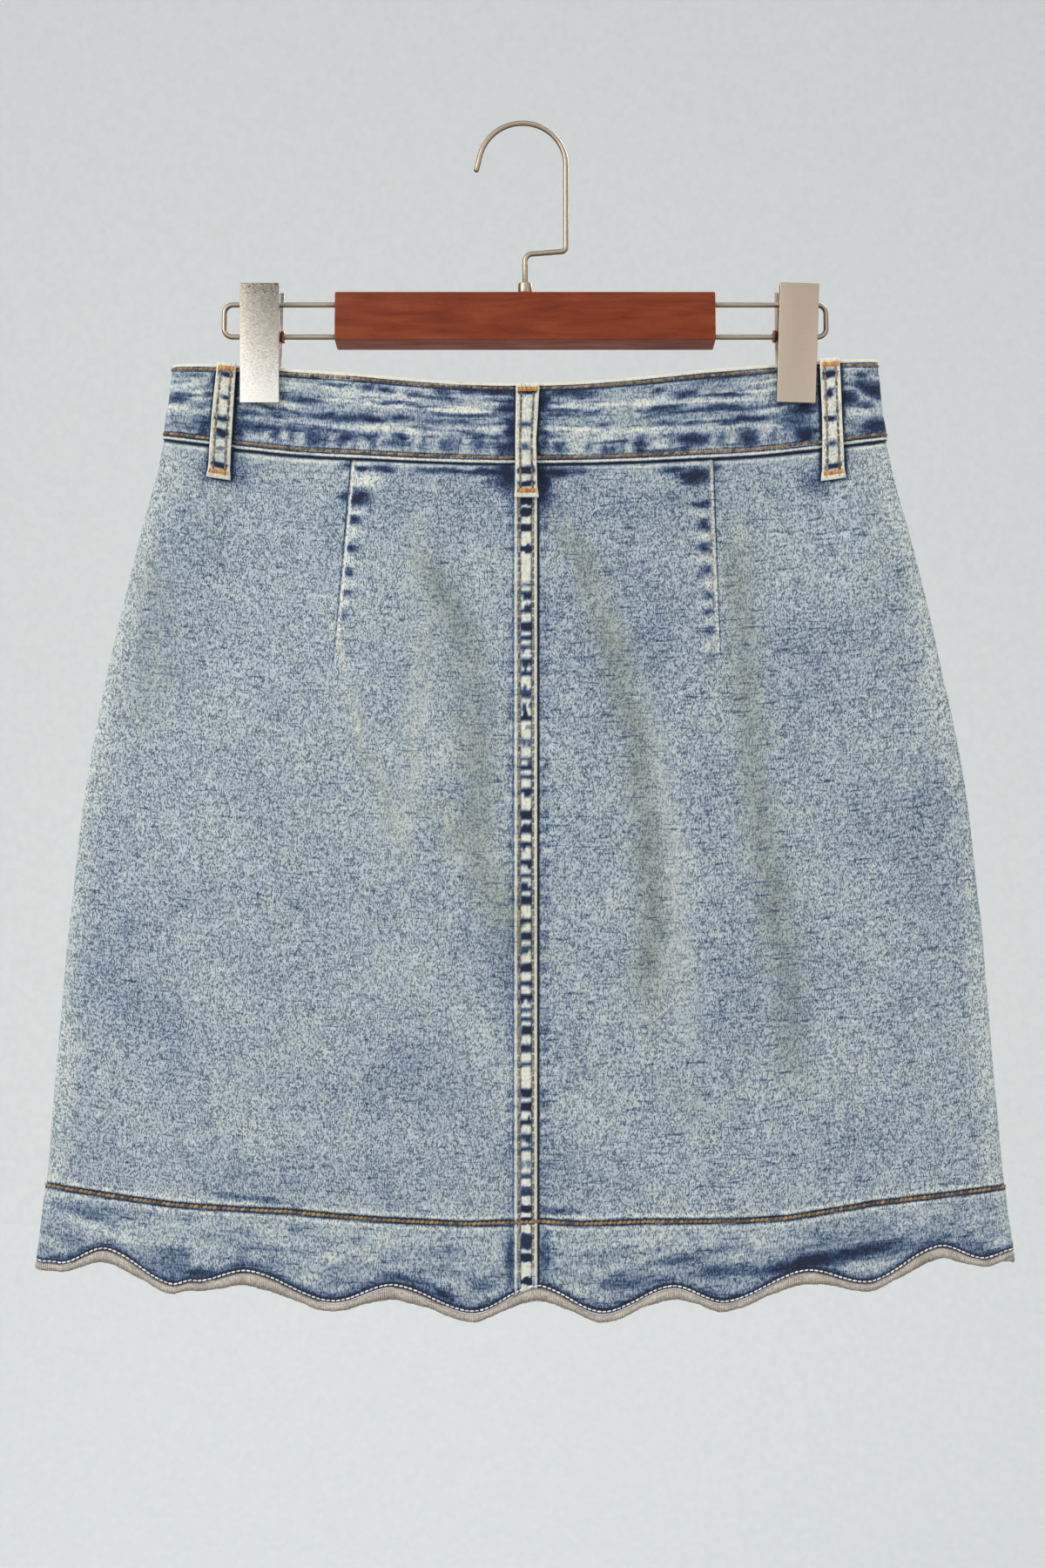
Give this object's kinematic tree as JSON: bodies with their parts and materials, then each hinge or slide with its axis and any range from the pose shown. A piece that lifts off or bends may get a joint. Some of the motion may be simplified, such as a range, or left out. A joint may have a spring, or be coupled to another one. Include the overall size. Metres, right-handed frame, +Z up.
{
  "type": "denim skirt on clip hanger",
  "caption": "Acid-washed denim mini skirt with a scalloped, satin-stitched hem, hung flat by its waistband from a wooden clip hanger.",
  "frame": {"origin": "the highest point inside the hook, where a rail carries the hanger", "axes": "+Z up, -Y out of the skirt's back, +Y out of its front, -X towards the wearer's left"},
  "size_m": [0.5122, 0.0375, 0.6285],
  "materials": {
    "denim": "acid-washed blue cotton denim twill",
    "hem_stitching": "beige satin stitch",
    "wood": "red-brown satin varnish",
    "nickel": "brushed nickel plate",
    "copper": "copper-coloured plate",
    "pad_rubber": "matt black rubber"
  },
  "bodies": {
    "root": {"back_panel_left": "denim", "back_panel_right": "denim", "front_panel_left": "denim", "front_panel_right": "denim", "waistband_back": "denim", "waistband_front_left": "denim", "waistband_front_right": "denim", "belt_loop_center_back": "denim", "belt_loop_back_left": "denim", "belt_loop_back_right": "denim", "belt_loop_front_left": "denim", "belt_loop_front_right": "denim", "scalloped_edge_back": "hem_stitching", "scalloped_edge_front": "hem_stitching", "waist_button": "nickel", "hanger_bar": "wood", "hanger_hook": "nickel", "hook_ferrule": "nickel", "clip_rail_left": "nickel", "clip_rail_right": "nickel", "clip_left_front_plate": "nickel", "clip_left_rear_plate": "nickel", "clip_left_front_pad": "pad_rubber", "clip_left_rear_pad": "pad_rubber", "clip_left_eyelet": "copper", "clip_right_front_plate": "nickel", "clip_right_rear_plate": "nickel", "clip_right_front_pad": "pad_rubber", "clip_right_rear_pad": "pad_rubber", "clip_right_eyelet": "copper"}
  },
  "joints": []
}
